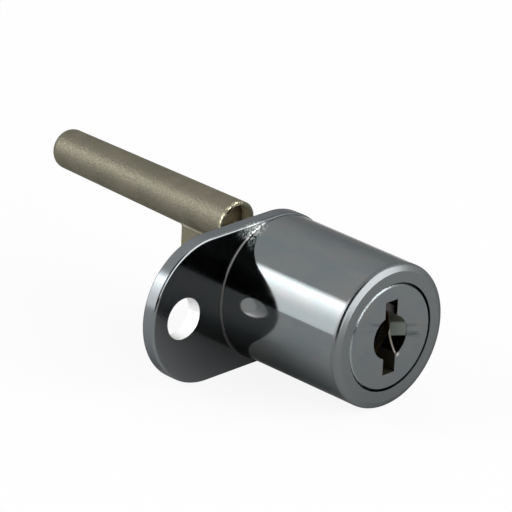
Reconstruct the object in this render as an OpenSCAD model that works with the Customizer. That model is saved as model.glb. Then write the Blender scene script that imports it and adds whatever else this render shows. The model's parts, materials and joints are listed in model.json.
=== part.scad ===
/* [Barrel] */
// Outside diameter of the barrel
barrel_d = 19; // [18:0.1:21]
// Width of the barrel's rim round the plug's head
barrel_rim = 2.5; // [2.2:0.05:2.8]
// Length of the barrel in front of the flange
barrel_len = 20.2; // [18:0.1:28]
// Width of the bevel round the barrel's front
front_bevel = 0.9; // [0.5:0.05:1.2]
// Slope of that bevel, back from the barrel's face, in degrees
front_slope = 23; // [15:1:45]
// Rounding between the bevel and the barrel's side
barrel_edge = 0.5; // [0.2:0.05:0.8]

/* [Flange] */
// Thickness of the flange
flange_t = 2; // [1.2:0.1:3]
// How far the flange stands out past the barrel
flange_lip = 0.2; // [0.05:0.05:2]
// Rounding of the flange's edges
flange_edge = 0.3; // [0.1:0.05:0.5]
// Distance from the barrel's axis to the centre of the ear's round end
ear_reach = 11.5; // [10:0.1:16]
// Distance from the centre of the ear's round end out to the screw hole
screw_offset = 4.45; // [3.5:0.05:5]
// Diameter of the screw hole
screw_hole_d = 5.5; // [3:0.1:6]
// Fillet between the barrel and the ear
root_fillet = 0.3; // [0.1:0.05:0.6]

/* [Rear boss] */
// How far the boss behind the flange stands in from the barrel's side
boss_step = 3.2; // [2.6:0.1:3.4]
// Length of the boss behind the flange
boss_len = 5; // [4:0.1:8]
// Length of the step in the boss's side that the stop lug turns in
stop_step = 1.5; // [1:0.1:2.2]
// Depth of that step, in from the boss's side
stop_depth = 1.1; // [0.9:0.05:1.3]

/* [Plug] */
// Thickness of the plug's head, the face that shows
head_t = 2; // [1.2:0.1:2.2]
// Bevel round the plug's face
head_bevel = 0.25; // [0.1:0.05:0.5]
// Width of the shoulder behind the head, where the plug's body starts
head_step = 0.8; // [0.6:0.05:1]
// Thickness of the plug's body behind the last plate
body_rear_t = 2.4; // [2:0.1:2.8]
// Thickness of the plug's body behind the keyway
keyway_wall = 1.6; // [1:0.1:1.8]
// How far the plug's rear journal stands in from its body
journal_step = 1.8; // [1.7:0.05:2]
// How far the tail that drives the crank stands in from the journal
tail_step = 0.8; // [0.6:0.05:1.2]
// Depth of the tail's two flats
tail_flat = 0.9; // [0.5:0.05:1.2]
// Length of the tail
tail_len = 1.9; // [1.6:0.1:2]

/* [Keyway] */
// Distance from the plug's body to the round middle of the keyway
keyhole_rim = 3.3; // [3.25:0.05:3.8]
// Distance from the plug's body to the ends of the blade slots
slot_rim = 1.3; // [1.2:0.05:1.8]
// Width of the blade slots
key_slot_w = 2.1; // [1.4:0.1:2.4]
// Depth of the plug in front of the first plate
front_wall = 2.9; // [2.5:0.1:3.4]

/* [Plates] */
// Thickness of a plate tumbler
plate_t = 1.1; // [0.8:0.05:1.2]
// Distance from one plate to the next
plate_pitch = 2; // [1.9:0.05:2.4]
// Distance from the plug's body to the sides of a plate's frame
plate_rim = 2.05; // [1.95:0.05:2.2]
// How far the tongues that lock in the barrel's channels stand in from the keyway's round middle
tongue_inset = 0.6; // [0.4:0.05:1]
// Bevel round the front of a plate's window
window_bevel = 0.15; // [0.05:0.01:0.2]
// How far a plate stands out of the plug when it locks
plate_travel = 0.9; // [0.6:0.05:1]
// Depth of the deepest cut in the key that fits
deepest_cut = 0.8; // [0.6:0.05:0.85]
// Difference between one key cut and the next
lift_step = 0.2; // [0.1:0.05:0.25]
// Height of a plate's spring lug
lug_h = 1.1; // [0.8:0.1:1.3]
// Distance that the spring lug stands out of the frame
lug_out = 1.2; // [1:0.05:1.3]
// Height of the spring lug's underside above the axis
lug_z = 0.6; // [0.4:0.1:0.8]

/* [Springs] */
// Outside diameter of a plate spring
spring_d = 1.1; // [0.9:0.05:1.2]
// Diameter of the spring wire
wire_d = 0.2; // [0.15:0.01:0.25]
// Length of a plate spring with the key in
spring_len = 2.8; // [2.4:0.1:3]
// Turns in a plate spring
spring_turns = 5; // [4:1:7]

/* [Crank] */
// How far the crank's hub stands in from the boss's side
hub_inset = 0.6; // [0.4:0.05:0.9]
// Thickness of the crank's hub
hub_t = 2.3; // [2.2:0.1:3]
// Distance from the lock's axis to the centre of the drive rod's front end
throw = 6.1; // [6:0.05:8]
// Diameter of the drive rod at its front end
rod_d = 6; // [5:0.1:6.2]
// Taper of the drive rod on each side, in degrees; the rod leans as much, so its top is level
rod_draft = 0.6; // [0:0.05:1]
// Length of the drive rod from the front of the hub
rod_len = 32.5; // [16:0.5:60]
// Rounding of the rod's far end
rod_nose = 1.5; // [0.3:0.1:2]
// Wall round the core hole in the rod's front end
core_wall = 0.55; // [0.4:0.05:0.9]
// Depth of the core hole in the rod's front end
core_depth = 1.75; // [0.8:0.05:3]
// Bevel on the rim of the core hole
core_bevel = 0.12; // [0.05:0.01:0.2]
// Thickness of the web that carries the rod
web_t = 3; // [2:0.1:4]
// How far the web reaches behind the hub
web_len = 6.2; // [4:0.1:12]
// How far the web's rear edge reaches below the lock's axis
web_drop = 1.8; // [0.8:0.1:4]
// Fillet between the web and the rod
web_fillet = 0.8; // [0.3:0.05:1]
// Width of the stop lug
lug_w = 2.4; // [1.6:0.1:3]
// Diameter of the pin that holds the crank on the plug
cross_pin_d = 1.1; // [0.8:0.05:1.3]
// Depth of the cross pin's ends below the hub's rim
pin_inset = 0.25; // [0.1:0.05:0.6]

/* [Clearances] */
// Radial clearance of the plug's body and journal in the housing
turn_gap = 0.08; // [0.05:0.01:0.1]
// Radial gap round the plug's head
head_gap = 0.14; // [0.08:0.01:0.2]
// Clearance between parts that slide or turn face to face
face_gap = 0.1; // [0.05:0.01:0.2]
// Clearance of a plate in its slot, over the whole thickness
plate_gap = 0.12; // [0.06:0.01:0.2]
// Clearance of the tail in the crank's socket, on each side
socket_gap = 0.03; // [0.01:0.01:0.06]
// Clearance of a key's shank in the plates
shank_gap = 0.05; // [0:0.01:0.15]

/* [Hidden] */
plate_count = 8;
plate_ids = [for (i = [1 : plate_count]) i];
// Key cut under each plate, in steps
cuts = [2, 0, 3, 1, 2, 3, 0, 1];

$fn = 96;
// A cut runs this far past the face it opens
over = 1;
// The web's fillets run this far into the rod
fillet_sink = 0.03;

zinc_chrome = "#c9cdd2";
zinc_nickel = "#a8a493";
plate_brass = "#b8975a";
spring_steel = "#8b8d90";
pin_steel = "#7d7f82";

// Places along the lock, measured from the flange's front face, +Y to the rear
front_y = -barrel_len;
head_rear_y = front_y + head_t;
first_plate_y = front_y + front_wall;
last_slot_y = first_plate_y + (plate_count - 1) * plate_pitch + plate_t + plate_gap;
body_rear_y = last_slot_y + body_rear_t;
keyway_rear_y = body_rear_y - keyway_wall;
boss_rear_y = flange_t + boss_len;
hub_front_y = boss_rear_y + 2 * face_gap;
hub_rear_y = hub_front_y + hub_t;
tail_rear_y = hub_front_y + tail_len;
web_rear_y = hub_rear_y + web_len;
rod_rear_y = hub_front_y + rod_len;
pin_y = hub_front_y + tail_len / 2 + socket_gap;

// Sizes that follow from the driving ones
barrel_r = barrel_d / 2;
flange_r = barrel_r + flange_lip;
screw_x = -(ear_reach + screw_offset);
boss_r = barrel_r - boss_step;
head_r = barrel_r - barrel_rim;
body_r = head_r - head_step;
journal_r = body_r - journal_step;
tail_r = journal_r - tail_step;
hub_r = boss_r - hub_inset;
rod_r = rod_d / 2;
rod_end_r = rod_r - rod_len * tan(rod_draft);
core_r = rod_r - core_wall;
stop_ring_r = boss_r - stop_depth;
keyhole_r = body_r - keyhole_rim;
key_slot_r = body_r - slot_rim;
lift_min = key_slot_r - deepest_cut;
slot_t = plate_t + plate_gap;
shank_r = keyhole_r + shank_gap;
tongue_half_w = keyhole_r - tongue_inset;
channel_w = 2 * (tongue_half_w + face_gap);
channel_reach = body_r + plate_travel + face_gap;
tongue_reach = body_r - face_gap;
plate_half_w = body_r - plate_rim;
frame_h = 2 * (sqrt(tongue_reach ^ 2 - plate_half_w ^ 2) - plate_travel);
slot_w = 2 * (plate_half_w + face_gap);
lug_x = plate_half_w + lug_out;
pocket_x = lug_x + face_gap;
spring_r = spring_d / 2;
spring_x = plate_half_w + face_gap / 2 + spring_r;
spring_well_r = spring_r + face_gap / 2;
spring_floor_z = lug_z - spring_len;

// The solid between two planes across the lock, from an outline seen from the front
module across(from_y, to_y) {
  translate([0, to_y, 0]) rotate([90, 0, 0]) linear_extrude(to_y - from_y) children();
}

// The solid between two upright planes along the lock, from an outline seen from the right,
// with depth to the rear as x and height as y
module along(half_w) {
  rotate([90, 0, 90]) translate([0, 0, -half_w]) linear_extrude(2 * half_w) children();
}

// A round solid on the lock's axis, from an outline of radius and depth
module turned() {
  rotate([-90, 0, 0]) rotate_extrude() children();
}

// Points of a quarter round of radius r about a centre, from one angle to another
function arc(centre, r, from_a, to_a, steps = 6) =
  [for (i = [0 : steps]) let (a = from_a + (to_a - from_a) * i / steps)
    centre + r * [cos(a), sin(a)]];

// A disc across the lock with both rims rounded
module rimmed_disc(r, t, edge) {
  turned() polygon(concat(
    [[0, 0]],
    arc([r - edge, edge], edge, -90, 0),
    arc([r - edge, t - edge], edge, 0, 90),
    [[0, t]]
  ));
}

// A bar across the lock whose long edges are rounded like the rims of the discs
module rimmed_bar(reach, r, t, edge) {
  rotate([0, -90, 0]) linear_extrude(reach) polygon(concat(
    arc([r - edge, edge], edge, -90, 0),
    arc([r - edge, t - edge], edge, 0, 90),
    arc([edge - r, t - edge], edge, 90, 180),
    arc([edge - r, edge], edge, 180, 270)
  ));
}

// Outline of the keyway, a round hole with a blade slot above and below it
module keyway_outline() {
  circle(keyhole_r);
  square([key_slot_w, 2 * key_slot_r], center = true);
}

// Outline of the tail, a circle with two flats
module tail_outline(grow = 0) {
  intersection() {
    circle(tail_r + grow);
    square(2 * [tail_r - tail_flat + grow, tail_r + grow], center = true);
  }
}

// Places children at plate i, upright on odd plates and turned over on even ones
module at_plate(i) {
  translate([0, first_plate_y + (i - 1) * plate_pitch, 0]) rotate([0, i % 2 == 0 ? 180 : 0, 0]) children();
}

// Barrel, flange with one ear, and the boss behind it, cast in one piece
module housing() {
  color(zinc_chrome) difference() {
    union() {
      barrel_shell();
      rimmed_disc(flange_r, flange_t, flange_edge);
      translate([-ear_reach, 0, 0]) rimmed_disc(flange_r, flange_t, flange_edge);
      rimmed_bar(ear_reach, flange_r, flange_t, flange_edge);
      turned() translate([0, flange_t / 2]) square([boss_r, boss_rear_y - flange_t / 2]);
      ear_fillet();
    }
    plug_bore();
    plate_channels();
    screw_hole();
    stop_recess();
  }
}

// Barrel with the bevel round its front, which runs into its side in a round
module barrel_shell() {
  turn_a = 90 - front_slope;
  side_y = front_y + front_bevel * tan(front_slope) + barrel_edge * tan(turn_a / 2);
  turned() polygon(concat(
    [[0, front_y], [barrel_r - front_bevel, front_y]],
    arc([barrel_r - barrel_edge, side_y], barrel_edge, -turn_a, 0, 8),
    [[barrel_r, flange_t / 2], [0, flange_t / 2]]
  ));
}

// Fillet round the root of the barrel, as far as the ear's flat face goes
module ear_fillet() {
  flat_r = flange_r - flange_edge;
  intersection() {
    turned() polygon(concat(
      [[barrel_r - root_fillet, flange_t / 2], [barrel_r - root_fillet, -root_fillet]],
      arc([barrel_r + root_fillet, -root_fillet], root_fillet, 180, 90, 4),
      [[barrel_r + root_fillet, flange_t / 2]]
    ));
    translate([-ear_reach, -barrel_len, -flat_r]) cube([ear_reach, barrel_len + flange_t, 2 * flat_r]);
  }
}

// Stepped bore that the plug turns in
module plug_bore() {
  turned() polygon([
    [0, front_y - over],
    [head_r + head_gap, front_y - over],
    [head_r + head_gap, head_rear_y + face_gap],
    [body_r + turn_gap, head_rear_y + face_gap],
    [body_r + turn_gap, body_rear_y + face_gap],
    [journal_r + turn_gap, body_rear_y + face_gap],
    [journal_r + turn_gap, boss_rear_y + over],
    [0, boss_rear_y + over]
  ]);
}

// Channels above and below the plug, which the plates lock in
module plate_channels() {
  across(head_rear_y, last_slot_y + face_gap)
    square([channel_w, 2 * channel_reach], center = true);
}

// Hole for the fixing screw in the ear
module screw_hole() {
  translate([screw_x, 0, 0]) turned() translate([0, -over])
    square([screw_hole_d / 2, flange_t + 2 * over]);
}

// Step at the rear of the boss; the part left below it stops the crank at both ends
module stop_recess() {
  across(boss_rear_y - stop_step, boss_rear_y + over) difference() {
    translate([-2 * boss_r, -lug_w / 2 - face_gap / 2]) square(4 * boss_r);
    circle(stop_ring_r);
  }
}

// Plug with its keyway, eight plate slots and the tail that drives the crank
module plug() {
  color(zinc_chrome) difference() {
    union() {
      turned() polygon([
        [0, front_y],
        [head_r - head_bevel, front_y],
        [head_r, front_y + head_bevel],
        [head_r, head_rear_y],
        [body_r, head_rear_y],
        [body_r, body_rear_y],
        [journal_r, body_rear_y],
        [journal_r, hub_front_y - face_gap],
        [0, hub_front_y - face_gap]
      ]);
      across(hub_front_y - 2 * face_gap, tail_rear_y) tail_outline();
    }
    across(front_y - over, keyway_rear_y) keyway_outline();
    for (i = plate_ids) at_plate(i) plate_slot();
    cross_pin_hole();
  }
}

// Slot for one plate, with the pocket for its lug and the well for its spring
module plate_slot() {
  across_slot() square([slot_w, 2 * (body_r + over)], center = true);
  across_slot() translate([0, lug_z - face_gap]) square([pocket_x, body_r]);
  translate([spring_x, slot_t / 2, spring_floor_z]) cylinder(r = spring_well_r, h = body_r, $fn = 32);
}

// The thickness of one plate slot
module across_slot() {
  across(0, slot_t) children();
}

// Plate tumbler i, a flat frame that the key lifts flush with the plug
module plate(i) {
  lift = lift_min + lift_step * cuts[i - 1];
  color(plate_brass) at_plate(i) translate([0, plate_gap / 2, 0]) difference() {
    across(0, plate_t) difference() {
      union() {
        square([2 * plate_half_w, frame_h], center = true);
        intersection() {
          square([2 * tongue_half_w, 2 * body_r], center = true);
          circle(tongue_reach);
        }
        translate([0, lug_z]) square([lug_x, lug_h]);
      }
      plate_window(lift);
    }
    turned() polygon([
      [0, -over],
      [shank_r + window_bevel + over, -over],
      [shank_r, window_bevel],
      [0, window_bevel]
    ]);
  }
}

// Window of a plate: room for the key's round shank, and a slot that ends where the key lifts it
module plate_window(lift) {
  circle(shank_r);
  translate([0, -plate_travel]) circle(shank_r);
  translate([-shank_r, -plate_travel]) square([2 * shank_r, plate_travel]);
  translate([-key_slot_w / 2 - shank_gap, -lift])
    square([key_slot_w + 2 * shank_gap, lift + key_slot_r]);
}

// Coil spring i, between the bottom of its well and the plate's lug
module plate_spring(i) {
  color(spring_steel) at_plate(i)
    translate([spring_x, slot_t / 2, spring_floor_z + wire_d / 2])
      coil(spring_r - wire_d / 2, wire_d / 2, spring_len - wire_d, spring_turns);
}

// One unbroken round wire wound upwards: radius of the coil, radius of the wire, rise and turns
module coil(r, wire_r, rise, turns) {
  sides = 6;
  steps = 8 * turns;
  rings = [for (s = [0 : steps]) for (k = [0 : sides - 1])
    let (a = 360 * turns * s / steps, b = 360 * k / sides, reach = r + wire_r * cos(b))
      [reach * cos(a), reach * sin(a), rise * s / steps + wire_r * sin(b)]];
  walls = [for (s = [0 : steps - 1]) for (k = [0 : sides - 1])
    let (a = s * sides + k, b = s * sides + (k + 1) % sides)
      each [[a, b, b + sides], [a, b + sides, a + sides]]];
  first_end = [for (k = [1 : sides - 2]) [0, k + 1, k]];
  last_end = [for (k = [1 : sides - 2]) [steps * sides, steps * sides + k, steps * sides + k + 1]];
  polyhedron(points = rings, faces = concat(walls, first_end, last_end), convexity = 4);
}

// Crank: hub with a socket for the tail, stop lug, web and drive rod, cast in one piece
module crank() {
  color(zinc_nickel) difference() {
    union() {
      across(hub_front_y, hub_rear_y) circle(hub_r);
      drive_rod();
      web();
      stop_lug();
    }
    across(hub_front_y - over, tail_rear_y + socket_gap) tail_outline(socket_gap);
    rod_core();
    cross_pin_hole();
  }
}

// Leans children up towards the rear, about the top of the drive rod's front end
module leaning(angle) {
  translate([0, hub_front_y, throw + rod_r]) rotate([angle, 0, 0])
    translate([0, -hub_front_y, -throw - rod_r]) children();
}

// Drive rod, off the lock's axis, tapered, with a rounded far end
module drive_rod() {
  leaning(rod_draft) translate([0, 0, throw]) turned() polygon(concat(
    [[0, hub_front_y], [rod_r - core_bevel, hub_front_y], [rod_r, hub_front_y + core_bevel]],
    arc([rod_end_r - rod_nose, rod_rear_y - rod_nose], rod_nose, 0, 90, 8),
    [[0, rod_rear_y]]
  ));
}

// Shallow core hole in the rod's front end, down to the hub's rim
module rod_core() {
  difference() {
    translate([0, 0, throw]) turned() polygon([
      [0, hub_front_y - over],
      [core_r + core_bevel + over, hub_front_y - over],
      [core_r, hub_front_y + core_bevel],
      [core_r, hub_front_y + core_depth],
      [0, hub_front_y + core_depth]
    ]);
    across(hub_front_y - 2 * over, hub_rear_y) circle(hub_r);
  }
}

// Web from the hub up to the rod, square at the rear and sloping to the hub's lower rim,
// with a fillet each side that follows the rod's underside and runs a little way into it
module web() {
  fillet_x = web_t / 2 + web_fillet;
  fillet_drop = sqrt((rod_r + web_fillet - fillet_sink) ^ 2 - fillet_x ^ 2);
  along(web_t / 2) polygon([
    [hub_front_y + hub_t / 2, -hub_r + web_fillet],
    [hub_rear_y, -hub_r + web_fillet],
    [web_rear_y, -web_drop],
    [web_rear_y, throw],
    [hub_front_y + hub_t / 2, throw]
  ]);
  intersection() {
    across(hub_rear_y - hub_t / 2, web_rear_y) square(4 * throw, center = true);
    leaning(2 * rod_draft) across(hub_front_y, web_rear_y + over) for (side = [-1, 1]) difference() {
      polygon([[0, throw], [side * fillet_x, throw - fillet_drop], [0, throw - fillet_drop]]);
      translate([side * fillet_x, throw - fillet_drop]) circle(web_fillet, $fn = 48);
    }
  }
}

// Arm on the hub with a lug that turns in the step of the boss
module stop_lug() {
  intersection() {
    union() {
      across(hub_front_y, hub_rear_y) translate([-boss_r, -lug_w / 2]) square([boss_r - tail_r, lug_w]);
      across(boss_rear_y - stop_step + face_gap, hub_rear_y)
        translate([-boss_r, -lug_w / 2]) square([stop_depth - face_gap, lug_w]);
    }
    across(front_y, hub_rear_y + over) circle(boss_r);
  }
}

// Hole through hub and tail for the cross pin
module cross_pin_hole() {
  translate([-2 * hub_r, pin_y, 0]) rotate([0, 90, 0])
    cylinder(d = cross_pin_d, h = 4 * hub_r, $fn = 48);
}

// Pin through the crank's hub and the plug's tail
module crank_pin() {
  length = 2 * (hub_r - pin_inset);
  color(pin_steel) translate([-length / 2, pin_y, 0]) rotate([0, 90, 0])
    cylinder(d = cross_pin_d, h = length, $fn = 48);
}

housing();
plug();
crank();
crank_pin();
for (i = plate_ids) plate(i);
for (i = plate_ids) plate_spring(i);
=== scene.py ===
"""Looks of a cylinder desk lock: chromed barrel and plug, nickelled crank, brass plates."""

import json
import math

import bpy
from mathutils import Matrix, Vector


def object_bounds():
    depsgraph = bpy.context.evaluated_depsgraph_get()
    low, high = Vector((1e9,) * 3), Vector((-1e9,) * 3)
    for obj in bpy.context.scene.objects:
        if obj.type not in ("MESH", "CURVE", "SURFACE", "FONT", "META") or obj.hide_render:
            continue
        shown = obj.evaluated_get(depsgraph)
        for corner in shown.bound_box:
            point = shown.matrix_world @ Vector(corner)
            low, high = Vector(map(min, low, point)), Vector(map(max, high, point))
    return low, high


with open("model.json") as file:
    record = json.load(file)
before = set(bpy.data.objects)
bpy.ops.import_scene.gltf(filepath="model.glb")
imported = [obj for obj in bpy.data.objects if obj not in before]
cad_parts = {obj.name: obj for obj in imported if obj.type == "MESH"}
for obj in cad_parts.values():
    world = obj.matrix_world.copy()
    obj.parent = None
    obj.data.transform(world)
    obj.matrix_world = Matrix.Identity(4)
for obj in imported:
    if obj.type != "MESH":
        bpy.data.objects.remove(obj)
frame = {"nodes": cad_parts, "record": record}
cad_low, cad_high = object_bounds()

MM = 0.001
FRAME_PX = 512
SENSOR_MM = 36.0
RIGHT, BACK, UP = (1, 0, 0), (0, 1, 0), (0, 0, 1)

# The photograph's view, from a fit of the barrel, flange and rod: the turn from the lock's
# axes to the camera's (x right, y down, z forward), the lock's place in them, and the lens;
# then the nearest and farthest that the camera sees
VIEW_TURN = (1.87793, -0.73625, 0.53896)
VIEW_PLACE_MM = (2.4451, 3.7979, 664.62)
FOCAL_PX = 5282.0
NEAREST_M, FARTHEST_M = 0.01, 20.0

# The floor touches the lock where the flange does, and reaches this far from it
FLOOR_Z = cad_low.z
FLOOR_REACH_M = 3.0
# Share of the floor that is plain white where the camera sees it, and where metal does; the
# rest is lit paper, which holds the shadow
FLOOR_GLOW = 0.9
METAL_GLOW = 0.1
WHITE, PAPER = "#ffffff", "#f4f4f4"

# What the room gives to matt surfaces, beside the lamps
ROOM_FILL = 0.65
# Middle of the room's unlit side, the cosines from it where the dark starts and is full, and
# its shade
DARK_SIDE = (-0.70, -0.42, 0.58)
DARK_BORDER = (0.62, 0.70)
DARK_SHADE = "#0c0d0e"

LAMP_DISTANCE_M = 1.5
# The front lamp's direction from the lock, the direction of its length, its width and length,
# and its brightness
FRONT_TOWARDS = (0.142, -0.923, 0.358)
FRONT_ALONG = (-0.353, 0.349, 0.868)
FRONT_SIZE_M = (2.3, 1.6)
FRONT_BRIGHTNESS = 3.6
# The window's brightness from its top edge down, where a mirror shows 1 as white, and the
# degrees from each value to the next; the height of its strips and their length; where its top
# edge is; and the sine and cosine of how far it is to the lock's rear
WINDOW_FADE = (0.4, 6.4, 4.5, 3.0, 2.05, 1.65, 1.6, 1.4)
FADE_DEG = 8
STRIP_DEG = 2
STRIP_LENGTH_M = 1.0
WINDOW_TOP_DEG = 126.5
WINDOW_ARC, WINDOW_DEPTH = 0.761, 0.648

# Size of the soft patches in a finish
PATCH_MM = 4

# Places on the lock in mm: its front face, the barrel's axis, the flange's rear face, the front
# and centre of the drive rod, and the rear of the crank's hub and web
FACE_Y = cad_low.y / MM
AXIS = (0, 0, 0)
FLANGE_REAR_Y = 2.0
ROD_FRONT_Y, ROD_CENTRE = 7.2, (0, 0, 6.1)
HUB_REAR_Y, WEB_REAR_Y = 9.5, 15.7
# Radii in mm: the plug's face, the ends of the keyway's slots, the rod's front and its core hole
PLUG_R, SLOT_END_R = 7.0, 4.8
ROD_R, CORE_R = 3.0, 2.45
# Directions across slanting borders in the keyway: of the painted shade below, of the painted
# shade above it, and of the painted highlight line on the right wall
LOW_SHADE_SLANT = (0, 0.334, 1)
TOP_SHADE_SLANT = (0.274, 0.334, 1)
BRIGHT_LINE_SLANT = (0.87, -0.492, 0)
# The key's marks on the plug's face: the direction across their band, how far the specks in it
# are drawn out, and their slope in degrees
MARKS_ACROSS = (0.32, 0, 0.95)
MARKS_STRETCH = 7
MARKS_SLOPE_DEG = 15

# Radii in mm and the screw's place, from the part's mounts
mounts = {m["name"]: m for m in frame["record"]["mounts"]}
BARREL_R = mounts["barrel"]["dims"]["r_mm"]
KEYWAY_R = mounts["keyway"]["dims"]["r_mm"]
SCREW_R = mounts["ear_screw"]["dims"]["r_mm"]
SCREW_PLACE = [c / MM for c in mounts["ear_screw"]["pos_m"]]


def colour(code):
    """Linear colour from an sRGB hex code."""
    parts = [int(code[i:i + 2], 16) / 255 for i in (1, 3, 5)]
    linear = [c / 12.92 if c <= 0.04045 else ((c + 0.055) / 1.055) ** 2.4 for c in parts]
    return (*linear, 1.0)


def add(tree, kind, links=None, **settings):
    """Adds one node. Settings that name a socket set its value, others set the node itself;
    links maps sockets, by name or number, to the outputs that feed them."""
    node = tree.nodes.new(kind)
    sockets = {}
    for name, value in settings.items():
        if hasattr(node, name):
            setattr(node, name, value)
        else:
            sockets[name.replace("_", " ")] = value
    for name, value in sockets.items():
        node.inputs[name].default_value = value
    for name, source in (links or {}).items():
        tree.links.new(source, node.inputs[name])
    return node


def material(name):
    """An empty node material and its tree."""
    made = bpy.data.materials.new(name)
    made.use_nodes = True
    made.node_tree.nodes.clear()
    return made, made.node_tree


def ramp(tree, place, towards, start_mm, end_mm):
    """0 to 1 along a direction, between two distances from the lock's origin."""
    along = add(tree, "ShaderNodeVectorMath", {0: place}, operation="DOT_PRODUCT")
    along.inputs[1].default_value = towards
    return add(tree, "ShaderNodeMapRange", {"Value": along.outputs["Value"]},
               From_Min=start_mm * MM, From_Max=end_mm * MM).outputs[0]


def ball(tree, place, centre_mm, radius_mm, soft_mm=0.03, stretch=(1, 1, 1)):
    """1 within a radius of a point, and 0 beyond the soft border round it, or the other way round
    where that border is negative. Stretch (1, 0, 1) draws the ball out to a bore along the lock."""
    offset = add(tree, "ShaderNodeVectorMath", {0: place}, operation="SUBTRACT")
    offset.inputs[1].default_value = [c * MM for c in centre_mm]
    scaled = add(tree, "ShaderNodeVectorMath", {0: offset.outputs[0]}, operation="MULTIPLY")
    scaled.inputs[1].default_value = stretch
    reach = add(tree, "ShaderNodeVectorMath", {0: scaled.outputs[0]}, operation="LENGTH")
    return add(tree, "ShaderNodeMapRange", {"Value": reach.outputs["Value"]},
               From_Min=(radius_mm + soft_mm) * MM, From_Max=radius_mm * MM).outputs[0]


def overlap(tree, *masks):
    """The product of masks."""
    whole = masks[0]
    for mask in masks[1:]:
        whole = add(tree, "ShaderNodeMath", {0: whole, 1: mask}, operation="MULTIPLY").outputs[0]
    return whole


def between(tree, place, towards, from_mm, to_mm, soft_mm):
    """1 between two distances along a direction, with soft borders inside them."""
    return overlap(tree, ramp(tree, place, towards, from_mm, from_mm + soft_mm),
                   ramp(tree, place, towards, to_mm, to_mm - soft_mm))


def ring(tree, place, centre_mm, inner_mm, outer_mm, soft_mm):
    """1 between two radii round a line along the lock, with soft borders outside them."""
    return overlap(tree, ball(tree, place, centre_mm, inner_mm, -soft_mm, (1, 0, 1)),
                   ball(tree, place, centre_mm, outer_mm, soft_mm, (1, 0, 1)))


def bore(tree, place, centre_mm, radius_mm, from_y_mm, to_y_mm, soft_mm=0.03):
    """1 within a round bore along the lock and 0 outside it, with soft borders."""
    return overlap(tree, ball(tree, place, centre_mm, radius_mm, soft_mm, (1, 0, 1)),
                   between(tree, place, BACK, from_y_mm - soft_mm, to_y_mm + soft_mm, soft_mm))


def specks(tree, place, size_mm, low, high):
    """A noise of a size, cut off between two levels to 0 and 1."""
    noise = add(tree, "ShaderNodeTexNoise", {"Vector": place}, Scale=1 / (size_mm * MM), Detail=2.0)
    return add(tree, "ShaderNodeMapRange", {"Value": noise.outputs["Fac"]},
               From_Min=low, From_Max=high).outputs[0]


def metal(name, base, worn, edge, roughness, grain_mm, grain_height_mm, stretch=(1, 1, 1),
          places=()):
    """A plated or plain metal: base and worn are its two colours, edge its tint where it is seen
    at a glance, roughness its lowest and highest, grain_mm the size of its surface grain and
    stretch how its grain and patches are drawn out. Each of places is a mask function, with the
    colour and the roughness that the metal has there."""
    made, tree = material(name)
    place = add(tree, "ShaderNodeTexCoord").outputs["Object"]
    drawn = add(tree, "ShaderNodeMapping", {"Vector": place}, Scale=stretch).outputs[0]
    grain = add(tree, "ShaderNodeTexNoise", {"Vector": drawn},
                Scale=1 / (grain_mm * MM), Detail=2.0, Roughness=0.5).outputs["Fac"]
    patches = add(tree, "ShaderNodeTexNoise", {"Vector": drawn},
                  Scale=1 / (PATCH_MM * MM), Detail=3.0, Roughness=0.6).outputs["Fac"]
    mixed = add(tree, "ShaderNodeMath", {0: grain, 1: patches}, operation="MULTIPLY").outputs[0]
    rough = add(tree, "ShaderNodeMapRange", {"Value": mixed}, From_Min=0.1, From_Max=0.5,
                To_Min=roughness[0], To_Max=roughness[1]).outputs[0]
    wear = add(tree, "ShaderNodeMapRange", {"Value": patches},
               From_Min=0.35, From_Max=0.65).outputs[0]
    tint = add(tree, "ShaderNodeMix", {"Factor": wear}, data_type="RGBA")
    tint.inputs[6].default_value = colour(base)
    tint.inputs[7].default_value = colour(worn)
    shade = tint.outputs[2]
    for mask, there, there_rough in places:
        part = mask(tree, place)
        over = add(tree, "ShaderNodeMix", {"Factor": part, 6: shade}, data_type="RGBA")
        over.inputs[7].default_value = colour(there)
        shade = over.outputs[2]
        rough = add(tree, "ShaderNodeMapRange", {"Value": part, "To Min": rough},
                    To_Max=there_rough).outputs[0]
    bump = add(tree, "ShaderNodeBump", {"Height": grain}, Strength=1.0,
               Distance=grain_height_mm * MM).outputs[0]
    shader = add(tree, "ShaderNodeBsdfPrincipled",
                 {"Base Color": shade, "Roughness": rough, "Normal": bump},
                 Metallic=1.0, Specular_Tint=colour(edge))
    add(tree, "ShaderNodeOutputMaterial", {"Surface": shader.outputs[0]})
    return made


def dress(names, made):
    """Gives CAD nodes one material in place of the one they came with."""
    for name in names:
        for slot in frame["nodes"][name].material_slots:
            slot.material = made


def lamp(name, towards, along, width, length, brightness):
    """A soft lamp that faces the lock from a direction, its length along another;
    brightness is what a mirror would show, where 1 is white."""
    light = bpy.data.lights.new(name, "AREA")
    light.shape = "RECTANGLE"
    light.size, light.size_y = width, length
    light.energy = brightness * math.pi * width * length
    holder = bpy.data.objects.new(name, light)
    bpy.context.scene.collection.objects.link(holder)
    back = Vector(towards).normalized()
    across = Vector(along).cross(back).normalized()
    turn = Matrix((across, back.cross(across), back)).transposed()
    holder.matrix_world = Matrix.Translation(back * LAMP_DISTANCE_M) @ turn.to_4x4()


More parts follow.
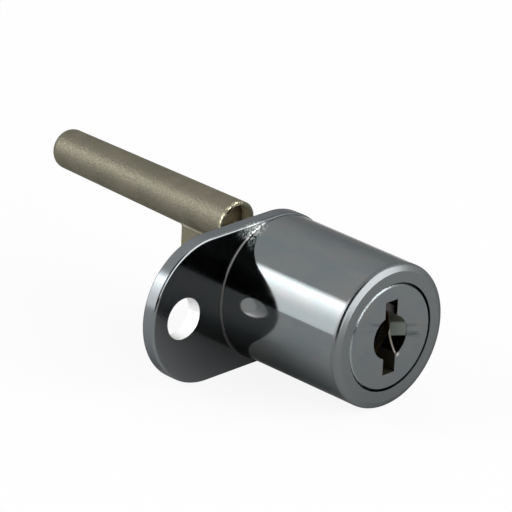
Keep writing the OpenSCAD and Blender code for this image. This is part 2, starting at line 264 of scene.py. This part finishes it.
def camera():
    """The photograph's camera."""
    turn = Vector(VIEW_TURN)
    axes = Matrix.Rotation(turn.length, 3, turn.normalized())
    place = -(axes.transposed() @ Vector(VIEW_PLACE_MM)) * MM
    facing = Matrix((axes[0], -axes[1], -axes[2])).transposed()
    data = bpy.data.cameras.new("photo_view")
    data.sensor_width = SENSOR_MM
    data.lens = FOCAL_PX / FRAME_PX * SENSOR_MM
    data.clip_start, data.clip_end = NEAREST_M, FARTHEST_M
    made = bpy.data.objects.new("photo_view", data)
    bpy.context.scene.collection.objects.link(made)
    made.matrix_world = Matrix.Translation(place) @ facing.to_4x4()
    bpy.context.scene.camera = made


def shown(tree):
    """1 for the rays that show the background: to the camera, in metal and through glass."""
    path = add(tree, "ShaderNodeLightPath").outputs
    seen = path["Is Camera Ray"]
    for ray in ("Is Glossy Ray", "Is Transmission Ray"):
        seen = add(tree, "ShaderNodeMath", {0: seen, 1: path[ray]}, operation="MAXIMUM").outputs[0]
    return seen


def floor():
    """A plain white floor under the lock. Where it is seen most of it is a white glow, so that
    it reaches white, and the rest keeps a light shadow."""
    mesh = bpy.data.meshes.new("floor")
    corners = [(x * FLOOR_REACH_M, y * FLOOR_REACH_M, FLOOR_Z)
               for x, y in ((-1, -1), (1, -1), (1, 1), (-1, 1))]
    mesh.from_pydata(corners, [], [(0, 1, 2, 3)])
    piece = bpy.data.objects.new("floor", mesh)
    bpy.context.scene.collection.objects.link(piece)
    made, tree = material("matt_white_paper")
    paper = add(tree, "ShaderNodeBsdfDiffuse", Color=colour(PAPER))
    white = add(tree, "ShaderNodeEmission", Color=colour(WHITE), Strength=1.0)
    path = add(tree, "ShaderNodeLightPath")
    glow = add(tree, "ShaderNodeMapRange", {"Value": path.outputs["Is Camera Ray"]},
               To_Min=METAL_GLOW, To_Max=FLOOR_GLOW)
    share = overlap(tree, glow.outputs[0], shown(tree))
    mixed = add(tree, "ShaderNodeMixShader", {0: share, 1: paper.outputs[0], 2: white.outputs[0]})
    add(tree, "ShaderNodeOutputMaterial", {"Surface": mixed.outputs[0]})
    mesh.materials.append(made)


def room():
    """A white room, darker on the lock's left, where nothing is lit: metal shows that side dark,
    with a soft border. Matt things get the lower level that the lamps leave to the room."""
    world = bpy.data.worlds.new("white_room")
    bpy.context.scene.world = world
    world.use_nodes = True
    tree = world.node_tree
    tree.nodes.clear()
    towards = add(tree, "ShaderNodeTexCoord").outputs["Generated"]
    aligned = add(tree, "ShaderNodeVectorMath", {0: towards}, operation="DOT_PRODUCT")
    aligned.inputs[1].default_value = Vector(DARK_SIDE).normalized()
    dark = add(tree, "ShaderNodeMapRange", {"Value": aligned.outputs["Value"]},
               interpolation_type="SMOOTHSTEP", From_Min=DARK_BORDER[0], From_Max=DARK_BORDER[1])
    path = add(tree, "ShaderNodeLightPath")
    unlit = add(tree, "ShaderNodeMath", {0: dark.outputs[0], 1: path.outputs["Is Camera Ray"]},
                operation="SUBTRACT", use_clamp=True)
    wall = add(tree, "ShaderNodeMix", {"Factor": unlit.outputs[0]}, data_type="RGBA")
    wall.inputs[6].default_value = colour(WHITE)
    wall.inputs[7].default_value = colour(DARK_SHADE)
    level = add(tree, "ShaderNodeMapRange", {"Value": shown(tree)}, To_Min=ROOM_FILL, To_Max=1.0)
    background = add(tree, "ShaderNodeBackground",
                     {"Color": wall.outputs[2], "Strength": level.outputs[0]})
    add(tree, "ShaderNodeOutputWorld", {"Surface": background.outputs[0]})


def studio():
    """The room, a window behind the lock on its left that fades out downwards, in strips on an
    arc, and a large soft lamp in front."""
    room()
    height = LAMP_DISTANCE_M * WINDOW_ARC * math.radians(STRIP_DEG)
    for strip in range((len(WINDOW_FADE) - 1) * FADE_DEG // STRIP_DEG):
        down = (strip + 0.5) * STRIP_DEG
        step, part = divmod(down / FADE_DEG, 1)
        above, below = WINDOW_FADE[int(step)], WINDOW_FADE[int(step) + 1]
        turn = math.radians(WINDOW_TOP_DEG + down)
        towards = (WINDOW_ARC * math.cos(turn), WINDOW_DEPTH, WINDOW_ARC * math.sin(turn))
        lamp(f"window_{strip + 1}", towards, BACK, height, STRIP_LENGTH_M,
             above + (below - above) * part)
    lamp("front_lamp", FRONT_TOWARDS, FRONT_ALONG, *FRONT_SIZE_M, FRONT_BRIGHTNESS)
    bpy.context.scene.view_settings.view_transform = "Standard"


def keyway_front(tree, place):
    """The keyway where it goes through the plug's front wall; on its own it is painted pale, as
    painted light on its walls.
    """
    return bore(tree, place, AXIS, SLOT_END_R + 0.5, FACE_Y + 0.1, FACE_Y + 2.85)


def keyway_low_shade(tree, place):
    """The lower half of the keyway's front, painted near black as painted shade, deeper in less
    high.
    """
    return overlap(tree, keyway_front(tree, place), ramp(tree, place, LOW_SHADE_SLANT, -7.2, -7.35))


def keyway_deep_shade(tree, place):
    """The part behind a slanting line round the keyway's right wall, painted near black too as
    painted shade.
    """
    return overlap(tree, keyway_front(tree, place), ramp(tree, place, UP, 0.6, 0.2),
                   ramp(tree, place, BRIGHT_LINE_SLANT, 11.0, 10.9))


def keyway_highlight_line(tree, place):
    """That line, painted bright as a painted highlight."""
    return overlap(tree, keyway_front(tree, place), ramp(tree, place, UP, 0.6, 0.2),
                   between(tree, place, BRIGHT_LINE_SLANT, 10.82, 11.07, 0.06))


def keyway_top_shade(tree, place):
    """The top of the keyway's round part, painted darker as painted shade."""
    return overlap(tree, keyway_front(tree, place), ramp(tree, place, TOP_SHADE_SLANT, -4.85, -4.55))


def keyway_foot_shade(tree, place):
    """The keyway's lower slot, painted a dark olive as painted shade."""
    return overlap(tree, keyway_front(tree, place),
                   ramp(tree, place, UP, 0.4 - KEYWAY_R, 0.1 - KEYWAY_R))


def keyway_head_shade(tree, place):
    """The keyway's upper slot, painted near black as painted shade."""
    return overlap(tree, keyway_front(tree, place),
                   ramp(tree, place, UP, KEYWAY_R - 0.4, KEYWAY_R - 0.1))


def keyway_pale_patch(tree, place):
    """The part of that slot behind its mouth and below its top, painted paler."""
    return overlap(tree, keyway_head_shade(tree, place),
                   ramp(tree, place, BACK, FACE_Y + 0.5, FACE_Y + 1.4),
                   ramp(tree, place, UP, SLOT_END_R - 0.9, SLOT_END_R - 1.1))


def keyway_nick(tree, place):
    """A bright nick in the face, at the lower right of the keyway's round part."""
    return ball(tree, place, (1.5, FACE_Y, -2.7), 0.1, 0.25)


def plug_edge(tree, place):
    """The bevelled edge of the plug's face."""
    return overlap(tree, ball(tree, place, AXIS, PLUG_R - 0.2, -0.05, (1, 0, 1)),
                   ramp(tree, place, BACK, FACE_Y + 0.35, FACE_Y + 0.3))


def face_marks(tree, place):
    """Faint marks of the key across the plug's face: specks in a band above its middle, drawn out
    to the right and a little down."""
    drawn = add(tree, "ShaderNodeMapping", {"Vector": place}, vector_type="TEXTURE",
                Rotation=(0, math.radians(MARKS_SLOPE_DEG), 0),
                Scale=(MARKS_STRETCH, 1, 1)).outputs[0]
    return overlap(tree, ball(tree, place, (0.5, FACE_Y, 0.8), 5.0, 1.5),
                   specks(tree, drawn, 0.5, 0.48, 0.7),
                   between(tree, place, MARKS_ACROSS, 0.1, 2.1, 0.5))


def screw_bore_glare(tree, place):
    """The wall of the screw hole, painted white as a painted glare."""
    return bore(tree, place, SCREW_PLACE, SCREW_R + 0.02, 0.02, FLANGE_REAR_Y - 0.02)


def root_corner_shade(tree, place):
    """The corner between the barrel and the ear, painted darker as painted shade."""
    return overlap(tree, bore(tree, place, AXIS, BARREL_R + 0.18, -0.16, 0.05),
                   ramp(tree, place, RIGHT, -1.5, -3.5))


def root_glints(tree, place):
    """Painted glints at the top of that corner: bright specks near a point."""
    return overlap(tree, ball(tree, place, (-4.7, -0.1, 8.8), 0.3, 0.9, (0.4, 1, 1)),
                   specks(tree, place, 0.35, 0.42, 0.6))


def front_ring(tree, place):
    """The barrel's front end round the plug, with its bevel."""
    return ramp(tree, place, BACK, FACE_Y + 1.0, FACE_Y + 0.92)


def flange_face(tree, place):
    """The flange's flat front face."""
    return between(tree, place, BACK, -0.06, 0.06, 0.03)


def flange_rim(tree, place):
    """The flange's outer wall, between its rounded edges."""
    return between(tree, place, BACK, 0.25, FLANGE_REAR_Y - 0.05, 0.1)


def flange_crown_dimmed(tree, place):
    """The flange's front edge round the barrel, away from the ear: duller, and painted darker as
    painted shade.
    """
    return overlap(tree, ramp(tree, place, RIGHT, -4.0, -2.5),
                   between(tree, place, BACK, -0.3, 0.4, 0.1))


def core_lip_glints(tree, place):
    """The core hole's lip: bright specks on the upper left of the rod's front end, as painted
    highlights.
    """
    return overlap(tree, ring(tree, place, ROD_CENTRE, CORE_R, ROD_R + 0.02, 0.05),
                   specks(tree, place, 0.3, 0.45, 0.6),
                   ramp(tree, place, BACK, ROD_FRONT_Y + 0.5, ROD_FRONT_Y + 0.2),
                   ramp(tree, place, RIGHT, 1.0, 0.2), ramp(tree, place, UP, 3.7, 4.1))


def core_dark_reflection(tree, place):
    """A painted dark reflection in that lip."""
    return overlap(tree, ring(tree, place, ROD_CENTRE, CORE_R + 0.15, CORE_R + 0.37, 0.03),
                   ball(tree, place, (-1.5, ROD_FRONT_Y, 8.3), 0.5, 0.3))


def core_bore(tree, place):
    """The shallow core hole in the drive rod's front end: dull as cast, and painted a lighter
    brown, as painted light inside it.
    """
    return bore(tree, place, ROD_CENTRE, CORE_R + 0.05, ROD_FRONT_Y + 0.1, ROD_FRONT_Y + 1.9)


def core_right_lit(tree, place):
    """The right wall of that hole, down to its floor, painted pale as painted light."""
    return overlap(tree, ramp(tree, place, RIGHT, 0.9, 1.2),
                   bore(tree, place, ROD_CENTRE, CORE_R + 0.05,
                        ROD_FRONT_Y + 0.1, ROD_FRONT_Y + 1.65))


def below_rod_lit(tree, place):
    """The crank's web and hub, below the rod, painted a little paler as painted light."""
    return ramp(tree, place, UP, 3.5, 3.2)


def web_corner_highlight(tree, place):
    """The rounded corner between the web and the rod, with a painted highlight."""
    return overlap(tree, ramp(tree, place, UP, 3.4, 3.6), ramp(tree, place, UP, 4.4, 3.9),
                   ramp(tree, place, BACK, HUB_REAR_Y + 0.1, HUB_REAR_Y + 0.9),
                   ramp(tree, place, BACK, WEB_REAR_Y + 0.2, WEB_REAR_Y - 0.5))


camera()
floor()
studio()

# Bright chrome on a polished die casting: mirrors the room, a little clouded along the barrel
# where it was buffed. The wheel didn't reach the flange's edges and the corner at the barrel,
# which are duller; that corner and the flange's crown are painted darker as painted shade, and
# bright specks at the top of the corner are painted glints. The front end was faced off and is
# satin. The screw hole's wall is painted white, as a painted glare.
chrome = metal("bright_chrome_on_zinc", "#6d7678", "#797a7a", "#b0b0b0", (0.05, 0.11), 0.8, 0.0015,
               (1, 0.35, 1),
               [(flange_face, "#737576", 0.12), (front_ring, "#6c6f70", 0.26),
                (flange_rim, "#74787b", 0.2), (flange_crown_dimmed, "#5e6264", 0.5),
                (root_corner_shade, "#545250", 0.4), (root_glints, "#e0e4e0", 0.45),
                (screw_bore_glare, "#ffffff", 0.5)])
# Chrome on a casting that was left satin: the same grey, its reflections blurred. Its grain of
# about 0.05 mm is too fine to show and is drawn at 0.2 mm. The keyway's walls are as cast and dull,
# and painted with light and shade: pale as painted light, near black below and in the upper slot
# as painted shade, darker at the top and in the lower slot, with a painted highlight line and a
# paler patch.
satin = metal("satin_chrome_on_zinc", "#6b7174", "#727472", "#b0b0b0", (0.28, 0.36), 0.2, 0.02,
              (1, 1, 1),
              [(face_marks, "#4f5355", 0.45), (plug_edge, "#868c8e", 0.2),
               (keyway_front, "#d3dad4", 0.8), (keyway_low_shade, "#0c0a09", 0.6),
               (keyway_deep_shade, "#080706", 0.6), (keyway_highlight_line, "#fffaf0", 0.8),
               (keyway_top_shade, "#7d7e74", 0.7), (keyway_foot_shade, "#534d40", 0.6),
               (keyway_head_shade, "#14110f", 0.7), (keyway_pale_patch, "#b2abaa", 0.7),
               (keyway_nick, "#b4b2aa", 0.5)])
# Satin nickel on a blasted die casting: a warm grey, its highlight broad and grainy. The blast's
# grain of about 0.05 mm is too fine to show and is drawn at 0.2 mm. The core hole is as cast and
# dull inside, painted a lighter brown with its right wall pale as painted light; its lip has
# painted glints and a painted dark reflection. The web and hub are painted paler as painted light,
# and the corner at the web has a painted highlight.
nickel = metal("satin_nickel_on_zinc", "#716f61", "#7e796b", "#b0b0b0", (0.44, 0.6), 0.2, 0.065,
               (0.7, 1, 0.7),
               [(core_lip_glints, "#e6dfc0", 0.35), (core_dark_reflection, "#15130e", 0.6),
                (core_bore, "#7c725c", 0.8), (core_right_lit, "#eeead6", 0.8),
                (web_corner_highlight, "#dad4be", 0.45), (below_rod_lit, "#84816f", 0.55)])
# Turned steel: plain, with a soft sheen. The tool's marks are too fine to show and are drawn as
# a grain of 0.1 mm.
steel = metal("turned_steel", "#6a6b6d", "#77787a", "#a0a0a0", (0.25, 0.35), 0.1, 0.001)
# Spring wire, pulled through a die: smooth and a little brighter than the pin.
wire = metal("drawn_spring_wire", "#707173", "#7c7d7f", "#a0a0a0", (0.2, 0.3), 0.1, 0.001)
# Brass stamped from rolled sheet: flat and even, brown and dull with age.
brass = metal("stamped_brass", "#4a3f2a", "#5d5036", "#a0a0a0", (0.4, 0.55), 0.1, 0.002)

springs = [n for n in frame["nodes"] if n.startswith("plate_spring_")]
plates = [n for n in frame["nodes"] if n.startswith("plate_") and n not in springs]
dress(["housing"], chrome)
dress(["plug"], satin)
dress(["crank"], nickel)
dress(["crank_pin"], steel)
dress(plates, brass)
dress(springs, wire)
